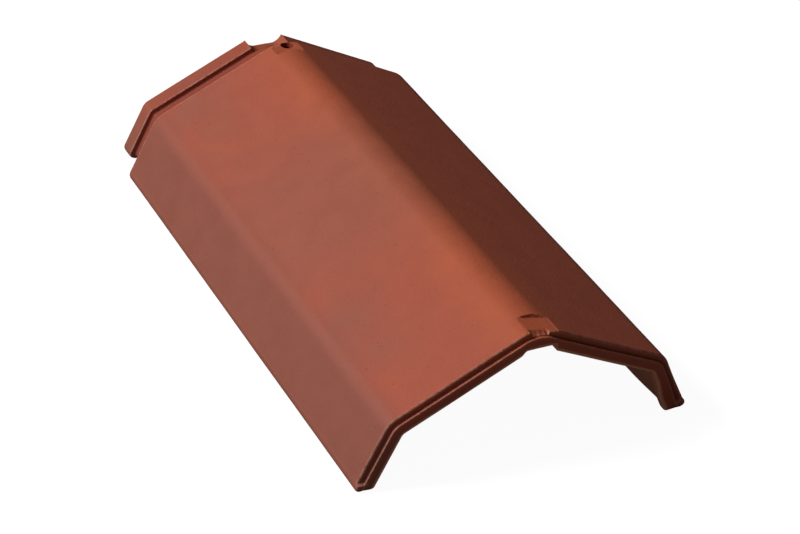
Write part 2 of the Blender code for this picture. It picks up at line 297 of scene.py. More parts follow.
def smooth(value, low, high):
    """0 under low, 1 over high, and 3t2 - 2t3 between."""
    t = np.clip((value - low) / (high - low), 0.0, 1.0)
    return t * t * (3.0 - 2.0 * t)


def within(value, half, soft):
    """1 inside a band of half width, 0 outside it, with a soft edge."""
    return 1.0 - smooth(np.abs(value), half - 0.5 * soft, half + 0.5 * soft)


def above_zero(value, soft):
    """The larger of a value and nought, with a softened corner: half of v + root(v2 + s2)."""
    return 0.5 * (value + np.sqrt(value ** 2 + soft ** 2) - soft)


def corner(along, flank, skirt, back, ahead, radius, steps, wear_and_highlight=0.0, dark_engobe_and_shade=0.0):
    """Rows round a corner of the wall's outline: the corner plus r(1 - sin a) along the line that
    comes in and r(1 - cos a) along the line that goes out, for a from 0 to 90 degrees."""
    turn = np.linspace(0.0, QUARTER, steps + 1)
    from_back = radius * (1.0 - np.sin(turn))
    from_ahead = radius * (1.0 - np.cos(turn))
    inward = from_back * back[1] + from_ahead * ahead[1]
    rows = np.zeros((steps + 1, 5))
    rows[:, 0] = along + from_back * back[0] + from_ahead * ahead[0]
    rows[:, 1] = flank + inward
    rows[:, 2] = skirt + inward
    rows[:, 3] = wear_and_highlight * np.sin(2.0 * turn) ** 0.5 if wear_and_highlight else 0.0
    rows[:, 4] = dark_engobe_and_shade
    return rows


def at(along, depth, beyond=(0.0, 0.0)):
    """A place in the wall's cut: the distance along, then the depths in flank and skirt."""
    return (along, beyond[0] + depth, beyond[1] + depth)


def straight(start, end, count, dark_engobe_and_shade=0.0):
    """Rows evenly between two (along, flank depth, skirt depth) places, both left out."""
    t = np.linspace(0.0, 1.0, count + 2)[1:-1, None]
    rows = np.zeros((count, 5))
    rows[:, :3] = np.array(start) * (1.0 - t) + np.array(end) * t
    rows[:, 4] = dark_engobe_and_shade
    return rows


def skin_rows(places):
    """Rows of the outer skin at the given distances from the tail."""
    rows = np.zeros((len(places), 5))
    rows[:, 0] = places
    return rows


class WallRows:
    """The wall cut along the tile, once round, one row for each point of the cut.

    The outer chain runs from the ledge over tail edge, outer skin, groove and rim to the middle of
    the spigot's end, and the inner chain from the ledge along the inner skin to the same middle.
    Both have the same number of rows, so that the feet are closed by quads between them.
    """

    def __init__(self, section, lengths, seats):
        total = lengths.body + lengths.spigot
        ledge = lengths.ledge_depth
        wall = section.wall
        stand = lengths.ledge_stand
        rim_start = total - lengths.rim
        rim = (wall - lengths.flank_proud, wall - lengths.skirt_proud)
        groove = (rim[0] + lengths.groove_depth, rim[1] + lengths.groove_depth)
        throat = (groove[0] + lengths.spigot_wall, groove[1] + lengths.spigot_wall)
        tip = lengths.ledge_tip
        fillet = 0.5 * tip
        self.total, self.rim, self.groove, self.throat = total, rim, groove, throat
        self.rim_start = rim_start

        # Fifth column: share of maroon engobe and painted shade; fourth column: share of rubbed
        # clay and painted highlight
        tail = np.vstack([
            straight(at(0.0, ledge + 3.0 * tip), at(0.0, ledge + tip), 2),
            corner(*at(0.0, ledge), DEEPER, TO_HEAD, tip, 5, wear_and_highlight=1.0),
            straight(at(tip, ledge), at(stand - fillet, ledge), 2, 0.2),
            # Painted shade on the tail's end face below the ledge
            corner(*at(stand, ledge), TO_TAIL, SHALLOWER, fillet, 2, dark_engobe_and_shade=0.7),
            straight(at(stand, ledge - fillet), at(stand, lengths.tail_edge), 4, 0.70),
            corner(*at(stand, 0.0), DEEPER, TO_HEAD, lengths.tail_edge, 6, wear_and_highlight=0.55),
        ])
        body, fold = lengths.body, lengths.groove_corner
        near, far = lengths.rim_near, lengths.rim_far
        body_end = body - lengths.head_edge
        near_tail = np.arange(stand + lengths.tail_edge + 0.0006, seats.clip_length + 0.002, 0.0007)
        near_head = np.arange(body - seats.nail_length - 0.0012, body_end, 0.0009)
        between = np.linspace(near_tail[-1], near_head[0], 98)[1:-1]
        middle = np.vstack([
            skin_rows(np.concatenate([near_tail, between, near_head])),
            corner(*at(body, 0.0), TO_TAIL, DEEPER, lengths.head_edge, 6, wear_and_highlight=0.5),
            # Painted shade down the head's edge, in the groove and on the rim's near wall, partly
            # darker engobe
            straight(at(body, lengths.head_edge), at(body, -fold, groove), 5, 0.5),
            corner(*at(body, 0.0, groove), SHALLOWER, TO_HEAD, fold, 4, dark_engobe_and_shade=1.0),
            straight(at(body + fold, 0.0, groove), at(rim_start - fold, 0.0, groove), 8, 1.0),
            corner(*at(rim_start, 0.0, groove), TO_TAIL, SHALLOWER, fold, 4, dark_engobe_and_shade=1.0),
            straight(at(rim_start, -fold, groove), at(rim_start, near, rim), 4, 0.15),
            corner(*at(rim_start, 0.0, rim), DEEPER, TO_HEAD, near, 4, wear_and_highlight=0.9),
            straight(at(rim_start + near, 0.0, rim), at(total - far, 0.0, rim), 9),
        ])
        half = (0.5 * (rim[0] + throat[0]), 0.5 * (rim[1] + throat[1]))
        head = np.vstack([
            corner(*at(total, 0.0, rim), TO_TAIL, DEEPER, far, 6, wear_and_highlight=0.6),
            # Painted shade on the spigot's end face
            straight(at(total, far, rim), (total, *half), 5, 0.3),
        ])
        self.outer = np.vstack([tail, middle, head])

        arris = lengths.arris
        tail_face = len(tail) - ARRIS_STEPS - 1
        inner_tail = np.vstack([
            # Painted shade on the inner part of the tail's end face
            straight(at(0.0, ledge + 3.0 * tip), at(0.0, wall - arris), tail_face, 0.65),
            corner(*at(0.0, wall), SHALLOWER, TO_HEAD, arris, ARRIS_STEPS, wear_and_highlight=0.5),
        ])
        number = np.arange(len(middle))
        spread = np.maximum.accumulate(middle[:, 0] - number * ROW_GAP) + number * ROW_GAP
        spread = np.minimum(spread, total - arris - (len(middle) - number) * 0.5 * ROW_GAP)
        slope_end = body - lengths.throat_setback
        slope_start = slope_end - lengths.throat_slope
        inner_middle = np.zeros((len(middle), 5))
        inner_middle[:, 0] = spread
        for column in (1, 2):
            depths = (wall, throat[column - 1])
            inner_middle[:, column] = np.interp(spread, (slope_start, slope_end), depths)
        head_face = len(head) - ARRIS_STEPS - 1
        inner_head = np.vstack([
            corner(*at(total, 0.0, throat), TO_TAIL, SHALLOWER, arris, ARRIS_STEPS, wear_and_highlight=0.5),
            straight(at(total, -arris, throat), (total, *half), head_face, 0.3),
        ])
        self.inner = np.vstack([inner_tail, inner_middle, inner_head])
        self.tail_rows = len(tail)
        self.head_rows = len(head)
        self.add_ways(wall, ledge, lengths, section.foot_fade)

    def add_ways(self, wall, ledge, lengths, fade):
        """Gives each row its side, its end, its lift, and the weights of the seats' cuts."""
        count = len(self.outer)
        tail = slice(0, self.tail_rows)
        head = slice(count - self.head_rows, count)
        rows = np.vstack([self.outer, self.inner])
        self.along, self.flank, self.skirt, self.wear_and_highlight, self.dark_engobe_and_shade = rows.T
        is_inner = np.arange(2 * count) >= count
        side = np.where(is_inner, -1.0, 1.0)
        across = 1.0 - 2.0 * self.skirt / wall
        spigot_across = 1.0 - 2.0 * (self.skirt - self.rim[1]) / (self.throat[1] - self.rim[1])
        for shift in (0, count):
            at_tail = slice(tail.start + shift, tail.stop + shift)
            at_head = slice(head.start + shift, head.stop + shift)
            side[at_tail] = np.clip(across[at_tail], -1.0, 1.0)
            side[at_head] = np.clip(spigot_across[at_head], -1.0, 1.0)
        past_body = self.along > lengths.body + HAIR
        to_head = smooth(self.along, self.total - fade, self.total)
        end = 1.0 - smooth(self.along, 0.0, fade) - to_head
        to_edge = smooth(self.along, lengths.body - fade, lengths.body)
        end = np.where(is_inner | past_body, end, end - to_edge)
        wall_share = np.clip(self.flank / self.groove[0], 0.0, 1.0)
        on_head_wall = ~is_inner & ~past_body & (self.along > lengths.body - 0.0021)
        self.lift = lengths.spigot_lift * np.where(
            is_inner,
            smooth(self.along, lengths.body - 0.004, lengths.body - 0.0005),
            np.where(past_body, 1.0, np.where(on_head_wall, smooth(wall_share, 0.55, 0.98), 0.0)),
        )
        self.side, self.end, self.is_inner = side, end, is_inner
        near_tail = self.along < 0.05
        near_head = self.along > self.rim_start - 0.002
        upper_tail = np.clip(1.0 - self.flank / ledge, 0.0, 1.0)
        self.upper = np.where(~is_inner & near_tail, upper_tail, 0.0)
        self.on_body = np.where(is_inner | past_body, 0.0, 1.0)
        rim, groove, throat = self.rim[0], self.groove[0], self.throat[0]
        near_wall = np.clip((groove - self.flank) / (groove - rim), 0.0, 1.0)
        far_wall = np.clip((throat - self.flank) / (throat - rim), 0.0, 1.0)
        at_end = self.along > self.total - lengths.rim_far - HAIR
        self.slot = np.where(near_head, np.where(at_end, far_wall, near_wall), 0.0)
        self.slot[is_inner & ~at_end] = 0.0
        lower = np.clip((self.flank - ledge) / (wall - ledge), 0.0, 1.0)
        self.lower = np.where(near_tail, lower, 0.0)
        self.bare = np.where(is_inner, smooth(self.skirt, 0.6 * wall, 1.02 * wall), 0.0)
        self.bare[count + len(self.outer) - self.head_rows:] *= 0.6


def station_marks(seats):
    """Where the section is cut: shares of its straight runs and turns, and the distances from the
    centre line near the ridge, which stand closer at the edges of seats, notches and slot."""
    bands = (
        (0.0, seats.half_width),
        (seats.clip_offset, seats.clip_half_width),
        (seats.notch_offset, seats.notch_half_width),
        (seats.strap_offset, seats.strap_half_width),
    )
    sides = [abs(centre + turn * half) for centre, half in bands for turn in (-1.0, 1.0)]
    slot_turn = np.linspace(0.0, QUARTER, 9)
    slot_edge = seats.slot_half_width - seats.slot_radius + seats.slot_radius * np.sin(slot_turn)
    edges = [edge + step for edge in sides for step in (-0.0003, 0.0, 0.0003)]
    near = np.concatenate([
        np.linspace(0.0300, 0.0165, 6),
        slot_edge,
        [seats.slot_half_width + 0.0004],
        edges,
        np.linspace(0.0, seats.notch_half_width - 0.0004, 8),
    ])
    near = np.unique(np.round(near, 6))[::-1]
    keep = np.append(np.abs(np.diff(near)) > 0.00016, True)
    return {
        "foot": np.linspace(QUARTER, 0.0, 6),
        "skirt": np.concatenate([np.linspace(0.0, 0.085, 6)[1:], np.linspace(0.085, 1.0, 9)[1:-1]]),
        "knee": np.linspace(0.0, 1.0, 10),
        "flank": np.linspace(0.0, 1.0, 17)[1:-1],
        "ridge": near[keep],
    }


def half_section(skins, rows, marks):
    """Right half of the section at every row, foot to centre line, as x, z and the end's tuck.

    Foot: the skirt's face moved in by r(1 - cos a) at the height r(1 - sin a). Knee: an arc from
    the skirt's normal to the flank's round the corner's centre. Ridge: the height of the skin at
    each distance from the centre line. Straight runs between them are linear.
    """
    section = skins.section
    flank, skirt = rows.flank[:, None], rows.skirt[:, None]
    side, lift = rows.side[:, None], rows.lift[:, None]
    turn = marks["foot"][None, :]
    rise = section.foot_radius + section.foot_lean * side
    rise = rise * (1.0 - section.foot_flat * np.clip(side, 0.0, 1.0))
    inward = section.foot_radius * side + section.foot_lean
    tuck = section.foot_end * (1.0 - np.cos(turn)) + 0.0 * side
    foot = skins.skirt_point(
        skirt + inward * (1.0 - np.cos(turn)), lift + rise * (1.0 - np.sin(turn))
    )

    skirt_angle = math.atan2(skins.skirt_out[1], skins.skirt_out[0])
    flank_angle = math.atan2(skins.flank_out[1], skins.flank_out[0])
    middle = 0.5 * (skirt_angle + flank_angle)
    radius = skins.radius(section.knee_radius, flank, skirt)
    reach = radius / math.cos(0.5 * (flank_angle - skirt_angle))
    knee_x, knee_z = skins.knee_corner(flank, skirt)
    turn = skirt_angle + marks["knee"][None, :] * (flank_angle - skirt_angle)
    knee = (
        knee_x - reach * math.cos(middle) + radius * np.cos(turn),
        knee_z - reach * math.sin(middle) + radius * np.sin(turn),
    )
    distance = marks["ridge"][None, :] + 0.0 * flank
    ridge = (distance, skins.ridge_height(distance, flank, skirt))

    parts = []
    for axis in (0, 1):
        up, over = marks["skirt"][None, :], marks["flank"][None, :]
        skirt_run = foot[axis][:, -1:] * (1.0 - up) + knee[axis][:, :1] * up
        flank_run = knee[axis][:, -1:] * (1.0 - over) + ridge[axis][:, :1] * over
        parts.append(np.hstack([foot[axis], skirt_run, knee[axis], flank_run, ridge[axis]]))
    tucks = np.zeros_like(parts[0])
    tucks[:, :tuck.shape[1]] = tuck
    return parts[0], parts[1], tucks


def seat_cuts(skins, rows, lengths, seats, x):
    """How far each point goes down for seats, notch and slot, and up for the strap notch.

    Each is the part of a height over a limit, times a band across and a band along the tile, times
    the row's share, so that the end faces close up under the cut and don't fold.
    """
    along = rows.along[:, None]
    zero = np.zeros_like(along)
    outer = skins.ridge_height(x, zero, zero)
    top = skins.ridge_height(0.0, 0.0, 0.0)
    ledge_top = skins.ridge_height(x, zero + lengths.ledge_depth, zero + lengths.ledge_depth)
    flat = top - seats.clip_depth - seats.clip_tilt * x
    stand = lengths.ledge_stand
    ramp = np.clip((along - stand) / (seats.notch_length - stand), 0.0, 1.0)
    flutes = 0.5 + 0.5 * np.cos(2.0 * math.pi * x / FLUTE_GAP + 0.6)
    ramp_floor = (ledge_top + seats.notch_step) * (1.0 - ramp) + flat * ramp
    ramp_floor = ramp_floor - seats.flute * flutes * (1.0 - ramp) ** 0.5
    notch = within(x - seats.notch_offset, seats.notch_half_width, SOFT_EDGE)
    floor = flat * (1.0 - notch) + np.minimum(flat, ramp_floor) * notch
    arched = seats.clip_length - SEAT_BOW * (x / seats.half_width) ** 2
    clip = within(x - seats.clip_offset, seats.clip_half_width, SOFT_EDGE)
    clip = clip * (1.0 - smooth(along, arched - 0.0009, arched))
    clip = clip * above_zero(outer - floor, HAIR)
    nail_start = lengths.body - seats.nail_length
    nail = within(x, seats.half_width, SOFT_EDGE) * smooth(along, nail_start - 0.0008, nail_start)
    here = skins.ridge_height(x, rows.flank[:, None], rows.skirt[:, None])
    nail = nail * above_zero(here - (top - seats.nail_depth), HAIR)
    down = rows.upper[:, None] * clip + rows.on_body[:, None] * nail

    rim_top = skins.ridge_height(x, zero + rows.rim[0], zero + rows.rim[1])
    slot_floor = skins.ridge_height(0.0, rows.throat[0], rows.throat[1]) + seats.slot_wall
    flat_half = seats.slot_half_width - seats.slot_radius
    past = np.clip(np.abs(x) - flat_half, 0.0, seats.slot_radius)
    valley = slot_floor + seats.slot_radius - np.sqrt(seats.slot_radius ** 2 - past ** 2)
    slot = within(x, seats.slot_half_width + 0.0002, SOFT_EDGE)
    slot = slot * above_zero(rim_top - valley, 0.0011)
    down = down + rows.slot[:, None] * slot

    wall = skins.section.wall
    inner = skins.ridge_height(x, zero + wall, zero + wall)
    ceiling = skins.ridge_height(0.0, wall, wall)
    aside = x - seats.strap_offset
    fading = np.where(aside < 0.0, 0.0040, SOFT_EDGE)
    strap = within(aside, seats.strap_half_width, fading)
    strap = strap * (1.0 - smooth(along, seats.strap_length - 0.0008, seats.strap_length))
    up = rows.lower[:, None] * strap * above_zero(ceiling - inner, HAIR)
    return up - down


def sway_of(x, y, z):
    """Slow unevenness of pressed clay, from -1 to 0: sums of sines of the place."""
    slow = np.sin(31.0 * x + 17.0 * y + 0.7) + np.sin(47.0 * y - 23.0 * x + 9.0 * z + 2.1)
    quick = np.sin(118.0 * x + 71.0 * y + 1.3) * np.sin(96.0 * y - 55.0 * x + 40.0 * z)
    return -0.5 + 0.17 * slow + 0.16 * quick


def ragged(place, step):
    """A ragged line from 0 to 1 along the section: sines of several lengths, folded."""
    wave = np.sin(place / step) + 0.6 * np.sin(2.7 * place / step + 1.1)
    wave = wave + 0.4 * np.sin(6.1 * place / step + 2.3)
    return np.clip(0.5 + 0.25 * wave, 0.0, 1.0)


def shape_feet(section, lengths, rows, x, y, z):
    """Swells and shortens the tail's right foot and closes the tail's recess near the ground, each
    by its size times a share along and a share up. Gives the line where the recess closes too,
    which gets a painted highlight."""
    along, right = rows.along[:, None], x > 0.0
    deep = np.clip(rows.flank / section.wall, 0.0, 1.0)[:, None]
    swell = deep * (1.0 - smooth(along, *SWELL_ALONG)) * (1.0 - smooth(z, *SWELL_UP))
    x = x - section.foot_swell * swell * right
    closed = 1.0 - np.clip((z - section.foot_flush) / SOFT_EDGE, 0.0, 1.0)
    turned = np.exp(-((z - section.foot_flush - 0.0002) / SOFT_EDGE) ** 2)
    turned = turned * (~rows.is_inner & (rows.along < lengths.ledge_stand + 0.0004))[:, None]
    recess = np.minimum(rows.along, lengths.ledge_stand) * (1.0 - smooth(rows.along, *RECESS_ALONG))
    y = y - np.where(rows.is_inner, 0.0, recess)[:, None] * closed
    short = right * (1.0 - smooth(along, *SHORT_ALONG)) * (1.0 - smooth(z, *SHORT_UP))
    return x, y, z + section.foot_short * short, turned


def fray_tail(lengths, rows, x, y, z):
    """Moves the ledge's lip and the tail's edge along by ragged lines of the way round the tile."""
    around = np.cumsum(np.hypot(np.diff(x, prepend=x[0]), np.diff(z, prepend=z[0])))
    at_ledge = (rows.along < lengths.ledge_stand + HAIR) & (rows.flank < 2.0 * lengths.ledge_depth)
    nearness = np.exp(-((rows.flank - lengths.ledge_depth) / 0.0011) ** 2)
    lip = 0.00028 * ragged(around, 0.0085) + 0.00008 * ragged(around + 0.05, 0.0031)
    y = y + (at_ledge * nearness)[:, None] * lip[None, :]
    tail_edge = ~rows.is_inner & (rows.along > lengths.ledge_stand - HAIR) & (rows.along < 0.0045)
    return y + tail_edge[:, None] * 0.00022 * ragged(around + 0.03, 0.011)[None, :]


def press_skin(section, lengths, rows, loop, grid):
    """Moves the skin along its own normals by the clay's sway and the flash above the feet."""
    along_step = np.roll(grid, -1, axis=0) - np.roll(grid, 1, axis=0)
    normal = np.cross(along_step, np.gradient(grid, axis=1))
    normal = normal / np.maximum(np.linalg.norm(normal, axis=2, keepdims=True), 1e-12)
    sway = section.sway * sway_of(grid[:, :, 0], grid[:, :, 1], grid[:, :, 2])
    outer_skin = ~rows.is_inner & (rows.along > 0.004) & (rows.along < lengths.body - 0.006)
    above_foot = np.abs(grid[:, :, 2] - section.foot_flush)
    flash = section.flash * np.exp(-(above_foot / 0.0007) ** 2)
    flash = flash * ragged(grid[:, :, 1] + 0.2 * np.sign(grid[:, :, 0]), 0.009)
    return grid + normal * (sway + outer_skin[loop][:, None] * flash)[:, :, None]


def wear_and_light_marks(lengths, seats, rows, x, turned):
    """Shares of rubbed clay with painted highlights, of maroon engobe with painted shade, and of
    bare clay; the painted shade takes in the slot's step and the near edge of the nail seat, each a
    bell curve along the tile."""
    along = rows.along[:, None]
    # Painted shade at the step down into the rim's slot
    step = np.exp(-((along - rows.rim_start - 0.0006) / 0.0013) ** 2) * (rows.slot[:, None] > 0.0)
    step = step * within(x, seats.slot_half_width - 0.001, 0.004)
    # Painted shade along the near left edge of the nail seat
    seat_edge = lengths.body - seats.nail_length + 0.0002
    seat_edge_shade = np.exp(-((along - seat_edge) / 0.0007) ** 2) * (x < -0.001) * within(x, 0.0098, 0.002)
    seat_edge_shade = np.where(rows.is_inner[:, None], 0.0, seat_edge_shade)
    return {
        # Rubbed arrises, and a painted highlight along the line where the tail's recess closes
        "rubbed_and_highlight": np.maximum(rows.wear_and_highlight[:, None], 0.9 * turned),
        "dark_engobe_and_shade": np.maximum(rows.dark_engobe_and_shade[:, None], np.maximum(step, 0.8 * seat_edge_shade)),
        "bare": rows.bare[:, None] + np.zeros_like(x),
    }


def grid_faces(count, stations):
    """Quads between neighbouring rows and stations, then those that close the two feet."""
    number = np.arange(count * stations).reshape(count, stations)
    following = np.roll(number, -1, axis=0)
    sheet = np.stack(
        [number[:, :-1], number[:, 1:], following[:, 1:], following[:, :-1]], axis=2
    ).reshape(-1, 4)
    pairs = count // 2
    opposite = count - 1 - np.arange(pairs)
    feet = []
    for station, flip in ((0, 1), (stations - 1, -1)):
        upper, lower = number[:pairs, station], number[opposite, station]
        quads = np.stack([upper[:-1], upper[1:], lower[1:], lower[:-1]], axis=1)
        feet.append(quads[:, ::flip])
    return np.vstack([sheet, *feet])


def tile_surface(section, lengths, seats):
    """Every point of the tile, its faces, and its marks of rubbing, painted highlight and painted
    shade.

    The wall's outline is the first parameter and the way round the section the second. Seats are
    taken off as heights, and the clay's sway is added along the surface's own normal.
    """
    skins = Skins(section)
    rows = WallRows(section, lengths, seats)
    halves = half_section(skins, rows, station_marks(seats))
    z, tuck = (np.hstack([half, half[:, -2::-1]]) for half in halves[1:])
    x = np.hstack([halves[0], -halves[0][:, -2::-1]])
    y = rows.along[:, None] + rows.end[:, None] * tuck - 0.5 * rows.total
    x, y, z, turned = shape_feet(section, lengths, rows, x, y, z)
    y = fray_tail(lengths, rows, x[0], y, z[0])
    z = z + seat_cuts(skins, rows, lengths, seats, x) * (np.abs(x) < CUT_REACH)

    half = len(x) // 2
    loop = np.concatenate([np.arange(half), np.arange(2 * half - 1, half - 1, -1)])
    grid = press_skin(section, lengths, rows, loop, np.stack([x, y, z], axis=2)[loop])
    grid = np.clip(grid, np.array(cad_box[0]), np.array(cad_box[1]))
    marks = wear_and_light_marks(lengths, seats, rows, x, turned)
    marks = {name: values[loop].ravel() for name, values in marks.items()}
    return grid.reshape(-1, 3), grid_faces(*x.shape), marks


def new_mesh(name, points, faces):
    """A mesh of points and faces."""
    mesh = bpy.data.meshes.new(name)
    mesh.from_pydata(points.tolist(), [], faces)
    return mesh


def put_in_scene(name, data):
    """A new object in the scene, of a mesh, a lamp or a camera."""
    made = bpy.data.objects.new(name, data)
    bpy.context.scene.collection.objects.link(made)
    return made


def hole_place(lengths, seats):
    """Centre of the nail hole as (x, y)."""
    along = lengths.body - seats.hole_setback
    return seats.hole_offset, along - 0.5 * (lengths.body + lengths.spigot)


def paint_hole_shade(mesh, lengths, seats):
    """Paints shade on the hole's wall: the points nearer its axis than its radius get the highest
    share of maroon.
    """
    places = np.empty(3 * len(mesh.vertices), np.float32)
    mesh.vertices.foreach_get("co", places)
    places = places.reshape(-1, 3)
    x, y = hole_place(lengths, seats)
    away = np.hypot(places[:, 0] - x, places[:, 1] - y)
    layer = mesh.attributes["dark_engobe_and_shade"]
    values = np.empty(len(mesh.vertices), np.float32)
    layer.data.foreach_get("value", values)
    # Painted shade: the hole's wall gets more maroon than any other place
    values[away < 0.5 * seats.hole_diameter + 0.0002] = 1.4
    layer.data.foreach_set("value", values)


def hole_cutter(skins, lengths, seats):
    """The nail hole as a turned shape: x = r cos a, y = r sin a, with r wider at the lip."""
    floor = skins.ridge_height(0.0, 0.0, 0.0) - seats.nail_depth
    radius = 0.5 * seats.hole_diameter
    flare = seats.hole_flare
    lip = np.linspace(0.0, QUARTER, 5)
    heights = np.concatenate([[floor - 0.05], floor - flare + flare * np.sin(lip), [floor + 0.01]])
    radii = np.concatenate([[radius], radius + flare * (1.0 - np.cos(lip)), [radius + flare]])
    turn = np.linspace(0.0, 2.0 * math.pi, HOLE_SIDES, endpoint=False)
    centre = hole_place(lengths, seats)
    x = centre[0] + radii[:, None] * np.cos(turn)
    y = centre[1] + radii[:, None] * np.sin(turn)
    z = heights[:, None] + 0.0 * turn
    points = np.stack([x, y, z], axis=2).reshape(-1, 3)
    number = np.arange(len(points)).reshape(x.shape)
    turned = np.roll(number, -1, axis=1)
    wall = np.stack([number[:-1], turned[:-1], turned[1:], number[1:]], axis=2).reshape(-1, 4)
    faces = wall.tolist() + [number[0][::-1].tolist(), number[-1].tolist()]
    return put_in_scene("nail_hole_shape", new_mesh("nail_hole_shape", points, faces))


def cut_and_settle(tile, cutter):
    """Takes the cutter's shape out of the tile's mesh for good, and drops the cutter."""
    modifier = tile.modifiers.new("nail_hole", "BOOLEAN")
    modifier.operation = "DIFFERENCE"
    modifier.solver = "EXACT"
    modifier.object = cutter
    graph = bpy.context.evaluated_depsgraph_get()
    settled = bpy.data.meshes.new_from_object(
        tile.evaluated_get(graph), preserve_all_data_layers=True, depsgraph=graph
    )
    tile.modifiers.clear()
    first = tile.data
    tile.data = settled
    settled.name = tile.name
    bpy.data.meshes.remove(first)
    shape = cutter.data
    bpy.data.objects.remove(cutter)
    bpy.data.meshes.remove(shape)


def add_node(tree, kind, sockets=None, **settings):
    """A shader node with its settings made and its sockets given a value or a link."""
    made = tree.nodes.new(kind)
    for key, value in settings.items():
        setattr(made, key, value)
    for key, value in (sockets or {}).items():
        if isinstance(value, bpy.types.NodeSocket):
            tree.links.new(value, made.inputs[key])
        else:
            made.inputs[key].default_value = value
    return made


def mixed(tree, share, first, second):
    """Colour between two colours."""
    sockets = {0: share, 6: first, 7: second}
    return add_node(tree, "ShaderNodeMix", sockets, data_type="RGBA").outputs[2]


def noise(tree, place, scale, detail=2.0, rough=0.5, distortion=0.0):
    """Soft noise at a scale per metre."""
    sockets = {"Vector": place, "Scale": scale, "Detail": detail}
    sockets.update({"Roughness": rough, "Distortion": distortion})
    return add_node(tree, "ShaderNodeTexNoise", sockets).outputs[0]


def ranged(tree, value, low, high, to_low=0.0, to_high=1.0):
    """A value moved from one range to another, smoothly."""
    sockets = {"Value": value, "From Min": low, "From Max": high}
    sockets.update({"To Min": to_low, "To Max": to_high})
    node = add_node(tree, "ShaderNodeMapRange", sockets, interpolation_type="SMOOTHSTEP")
    return node.outputs[0]


def sums(tree, operation, first, second=0.0):
    """Arithmetic on two values."""
    return add_node(tree, "ShaderNodeMath", {0: first, 1: second}, operation=operation).outputs[0]


def new_group(name, outputs):
    """An empty shader node group that takes a place and gives named values."""
    tree = bpy.data.node_groups.new(name, "ShaderNodeTree")
    tree.interface.new_socket(name="Vector", in_out="INPUT", socket_type="NodeSocketVector")
    for label in outputs:
        tree.interface.new_socket(name=label, in_out="OUTPUT", socket_type="NodeSocketFloat")
    start = tree.nodes.new("NodeGroupInput")
    return tree, start.outputs["Vector"], tree.nodes.new("NodeGroupOutput")


def grain_group():
    """Sandy grain of the fired clay: fine sand, soft pitting and scattered specks."""
    tree, place, finish = new_group("clay_grain", ("Height", "Specks"))
    sand = noise(tree, place, 1500.0, 3.0, 0.65)
    pits = noise(tree, place, 420.0)
    swell = noise(tree, place, 90.0)
    hollowed = ranged(tree, pits, 0.30, 0.46, -0.55, 0.0)
    height = sums(tree, "ADD", sums(tree, "MULTIPLY", sand, 0.55), hollowed)
    height = sums(tree, "ADD", height, sums(tree, "MULTIPLY", swell, 0.9))
    scatter = add_node(tree, "ShaderNodeTexVoronoi", {"Vector": place, "Scale": 260.0})
    spot = ranged(tree, scatter.outputs["Distance"], 0.10, 0.20, 1.0, 0.0)
    chosen = ranged(tree, noise(tree, place, 130.0, 1.0), 0.56, 0.66)
    tree.links.new(height, finish.inputs["Height"])
    tree.links.new(sums(tree, "MULTIPLY", spot, chosen), finish.inputs["Specks"])
    return tree


def bloom_group():
    """Kiln bloom: large soft clouds, finer mottling within them, and slow change of tone."""
    tree, place, finish = new_group("kiln_bloom", ("Cloud", "Mottle", "Tone"))
    cloud = noise(tree, place, 9.0, 3.0, 0.5, 0.3)
    mottle = noise(tree, place, 55.0, 4.0, 0.55, 0.2)
    tree.links.new(ranged(tree, cloud, 0.32, 0.72), finish.inputs["Cloud"])
    tree.links.new(ranged(tree, mottle, 0.25, 0.78), finish.inputs["Mottle"])
    tree.links.new(noise(tree, place, 5.5), finish.inputs["Tone"])
    return tree


def attribute(tree, name):
    """A mark that the surface carries at its points."""
    return add_node(tree, "ShaderNodeAttribute", attribute_name=name).outputs["Fac"]


